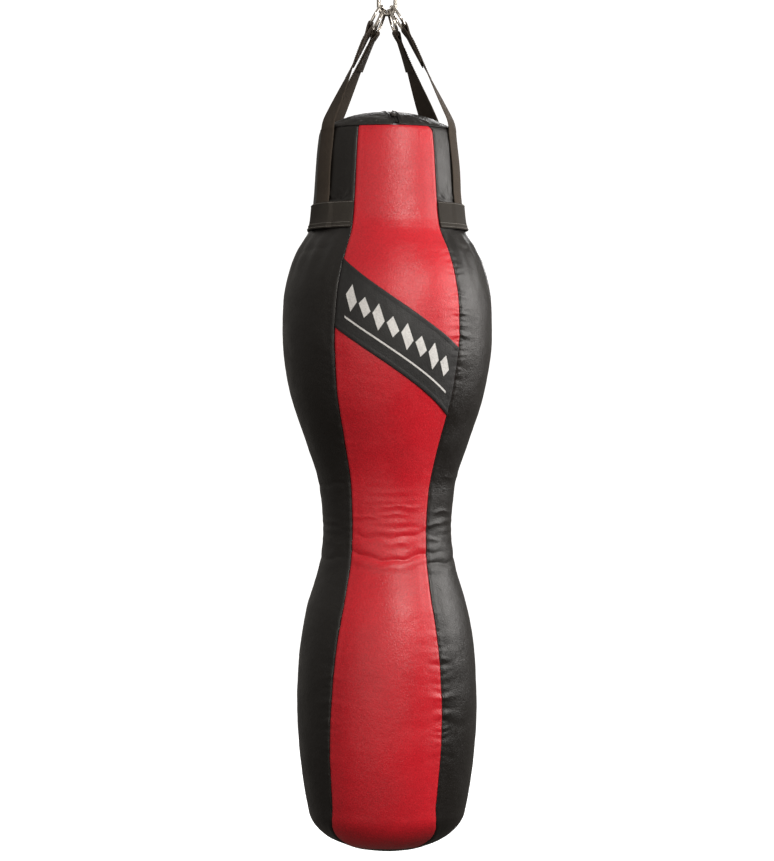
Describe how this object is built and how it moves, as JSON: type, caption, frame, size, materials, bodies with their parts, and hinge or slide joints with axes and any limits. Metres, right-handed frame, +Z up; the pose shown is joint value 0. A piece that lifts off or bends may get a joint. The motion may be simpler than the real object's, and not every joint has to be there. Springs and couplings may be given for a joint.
{
  "type": "grappling dummy",
  "caption": "Hanging body-shaped grappling and punching dummy: padded cover in five gores over packed textile, carried by webbing straps, welded rings and a snap hook.",
  "frame": {"origin": "inside top of the snap hook, where the hook bears on what carries the dummy", "axes": "+Z up along the hanging line, -Y to the front, where the red panel is, +X to the viewer's right"},
  "size_m": [0.4042, 0.4056, 1.7027],
  "materials": {
    "red_vinyl": "satin",
    "black_vinyl": "satin",
    "crown_vinyl": "matte",
    "band_vinyl": "matte",
    "webbing": "matte",
    "chrome_steel": "polished",
    "zinc_steel": "satin",
    "spring_steel": "satin",
    "zip_metal": "satin",
    "zip_tape": "matte",
    "liner_cloth": "matte",
    "textile_fill": "matte"
  },
  "bodies": {
    "snap_hook": {"snap_hook_body": "zinc_steel", "gate_rivet": "zinc_steel"},
    "hook_gate": {"snap_hook_gate": "zinc_steel", "gate_spring": "spring_steel", "gate_plunger": "spring_steel"},
    "bag": {"strap_front_left": "webbing", "strap_front_right": "webbing", "strap_rear_left": "webbing", "strap_rear_right": "webbing", "neck_belt": "webbing", "front_panel": "red_vinyl", "side_panel_left": "black_vinyl", "side_panel_right": "black_vinyl", "back_panel_left": "black_vinyl", "back_panel_right": "black_vinyl", "diagonal_band": "band_vinyl", "crown_left": "crown_vinyl", "crown_right": "crown_vinyl", "base_panel": "black_vinyl", "zip_tape_left": "zip_tape", "zip_tape_right": "zip_tape", "zip_chain": "zip_metal", "zip_stop_front": "zip_metal", "zip_stop_rear": "zip_metal", "inner_liner": "liner_cloth", "textile_fill_1": "textile_fill", "textile_fill_2": "textile_fill", "textile_fill_3": "textile_fill", "textile_fill_4": "textile_fill", "textile_fill_5": "textile_fill", "textile_fill_6": "textile_fill", "textile_fill_7": "textile_fill"},
    "zip_slider": {"zip_slider": "zip_metal"},
    "zip_pull": {"zip_pull": "zip_metal"},
    "ring_front_left": {"ring_front_left": "chrome_steel"},
    "ring_rear_left": {"ring_rear_left": "chrome_steel"},
    "ring_rear_right": {"ring_rear_right": "chrome_steel"},
    "ring_front_right": {"ring_front_right": "chrome_steel"}
  },
  "joints": [
    {"name": "bag_swing", "type": "hinge", "parent": "snap_hook", "child": "bag", "pos_m": [0, 0, -0.0663], "axis": [1, 0, 0], "range_deg": [-20, 20]},
    {"name": "gate_hinge", "type": "hinge", "parent": "snap_hook", "child": "hook_gate", "pos_m": [0.016, 0, -0.044], "axis": [0, -1, 0], "range_deg": [0, 25], "stiffness_Nm_per_rad": 0.06, "springref_deg": -20.05},
    {"name": "ring_turn_front_left", "type": "hinge", "parent": "bag", "child": "ring_front_left", "pos_m": [-0.02188, -0.00633, -0.0778], "axis": [-0.8728, 0.1227, 0.4725], "continuous": true},
    {"name": "ring_turn_rear_left", "type": "hinge", "parent": "bag", "child": "ring_rear_left", "pos_m": [-0.01422, 0.00331, -0.08539], "axis": [-0.9199, 0.0692, 0.3859], "continuous": true},
    {"name": "ring_turn_rear_right", "type": "hinge", "parent": "bag", "child": "ring_rear_right", "pos_m": [0.01224, 0.00583, -0.08568], "axis": [0.9426, 0.0709, 0.3264], "continuous": true},
    {"name": "ring_turn_front_right", "type": "hinge", "parent": "bag", "child": "ring_front_right", "pos_m": [0.02297, -0.00381, -0.07769], "axis": [0.8497, 0.0893, 0.5196], "continuous": true},
    {"name": "zip_travel", "type": "hinge", "parent": "bag", "child": "zip_slider", "pos_m": [0, 0, -0.521], "axis": [-0.9903, -0.1392, 0], "range_deg": [0, 35]},
    {"name": "zip_pull_flip", "type": "hinge", "parent": "zip_slider", "child": "zip_pull", "pos_m": [0.01116, -0.07942, -0.26664], "axis": [-0.9903, -0.1392, 0], "range_deg": [0, 184]}
  ]
}
